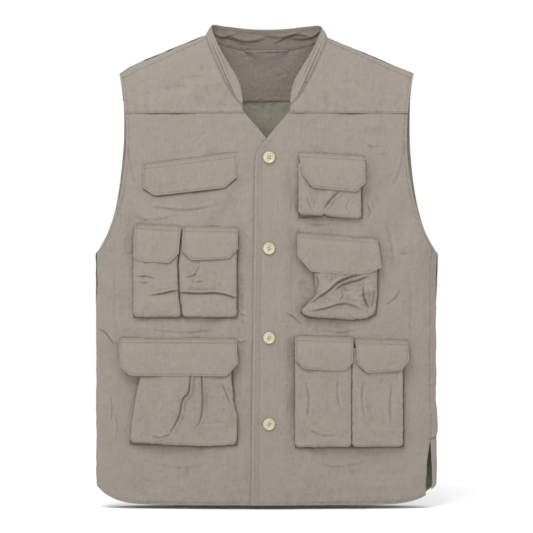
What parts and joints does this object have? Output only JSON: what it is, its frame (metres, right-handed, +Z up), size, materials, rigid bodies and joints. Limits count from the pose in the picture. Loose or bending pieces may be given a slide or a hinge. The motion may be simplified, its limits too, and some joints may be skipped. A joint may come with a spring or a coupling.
{
  "type": "fishing vest",
  "caption": "Sleeveless button-front fishing vest with stand collar, hang loop, side vents and flapped patch pockets",
  "frame": {"origin": "middle of the hang loop at the back neck, where a hook bears", "axes": "+Z up, the front of the vest faces -Y, +X is the wearer's left"},
  "size_m": [0.515, 0.109, 0.7247],
  "materials": {
    "cloth": "washed matte cotton",
    "lining": "matte cotton lining",
    "button": "satin horn effect",
    "thread": "matte sewing thread"
  },
  "bodies": {
    "body": {"back_panel": "cloth", "back_yoke": "cloth", "yoke_lining": "lining", "collar": "cloth", "hang_loop": "lining", "front_yoke_left": "cloth", "front_yoke_right": "cloth"},
    "front_left": {"front_panel_left": "cloth", "buttonhole_facing": "cloth", "gusset_chest_left": "cloth", "pocket_chest_left": "cloth", "gusset_mid_left": "cloth", "pocket_mid_left": "cloth", "gusset_low_left_inner": "cloth", "pocket_low_left_inner": "cloth", "gusset_low_left_outer": "cloth", "pocket_low_left_outer": "cloth"},
    "front_right": {"front_panel_right": "cloth", "button_facing": "cloth", "inner_bag_chest_right": "lining", "button_1": "button", "button_thread_1": "thread", "button_2": "button", "button_thread_2": "thread", "button_3": "button", "button_thread_3": "thread", "button_4": "button", "button_thread_4": "thread", "gusset_mid_right_inner": "cloth", "pocket_mid_right_inner": "cloth", "gusset_mid_right_outer": "cloth", "pocket_mid_right_outer": "cloth", "gusset_low_right": "cloth", "pocket_low_right": "cloth"},
    "flap_chest_left": {"flap_chest_left": "cloth"},
    "flap_mid_left": {"flap_mid_left": "cloth"},
    "flap_low_left_inner": {"flap_low_left_inner": "cloth"},
    "flap_low_left_outer": {"flap_low_left_outer": "cloth"},
    "flap_mid_right_inner": {"flap_mid_right_inner": "cloth"},
    "flap_mid_right_outer": {"flap_mid_right_outer": "cloth"},
    "flap_low_right": {"flap_low_right": "cloth"},
    "flap_chest_right": {"flap_chest_right": "cloth"}
  },
  "joints": [
    {"name": "front_left_swing", "type": "hinge", "parent": "body", "child": "front_left", "pos_m": [0.2576, -0.02113, -0.3865], "axis": [0, 0, 1], "range_deg": [0, 25]},
    {"name": "front_right_swing", "type": "hinge", "parent": "body", "child": "front_right", "pos_m": [-0.2576, -0.02113, -0.3865], "axis": [0, 0, -1], "range_deg": [0, 10]},
    {"name": "flap_chest_left_lift", "type": "hinge", "parent": "front_left", "child": "flap_chest_left", "pos_m": [0.09823, -0.06535, -0.15888], "axis": [-0.9934, -0.0983, 0.0593], "range_deg": [0, 120]},
    {"name": "flap_mid_left_lift", "type": "hinge", "parent": "front_left", "child": "flap_mid_left", "pos_m": [0.10824, -0.06436, -0.28138], "axis": [-0.9925, -0.0983, 0.0732], "range_deg": [0, 120]},
    {"name": "flap_low_left_inner_lift", "type": "hinge", "parent": "front_left", "child": "flap_low_left_inner", "pos_m": [0.08701, -0.06646, -0.43238], "axis": [-0.9945, -0.0985, 0.0349], "range_deg": [0, 120]},
    {"name": "flap_low_left_outer_lift", "type": "hinge", "parent": "front_left", "child": "flap_low_left_outer", "pos_m": [0.17326, -0.05792, -0.43738], "axis": [-0.9945, -0.0985, 0.0349], "range_deg": [0, 120]},
    {"name": "flap_mid_right_inner_lift", "type": "hinge", "parent": "front_right", "child": "flap_mid_right_inner", "pos_m": [-0.08443, -0.06671, -0.26838], "axis": [-0.9951, 0.0985, 0.0122], "range_deg": [0, 120]},
    {"name": "flap_mid_right_outer_lift", "type": "hinge", "parent": "front_right", "child": "flap_mid_right_outer", "pos_m": [-0.16342, -0.05889, -0.26538], "axis": [-0.9942, 0.0984, 0.0436], "range_deg": [0, 120]},
    {"name": "flap_low_right_lift", "type": "hinge", "parent": "front_right", "child": "flap_low_right", "pos_m": [-0.13244, -0.06196, -0.43538], "axis": [-0.9951, 0.0985, 0.0052], "range_deg": [0, 120]},
    {"name": "flap_chest_right_lift", "type": "hinge", "parent": "front_right", "child": "flap_chest_right", "pos_m": [-0.11501, -0.06424, -0.1654], "axis": [-0.9871, 0.0977, -0.1271], "range_deg": [0, 120]}
  ],
  "couplings": [
    {"joint": "front_right_swing", "follows": "front_left_swing", "ratio": 0.4}
  ]
}
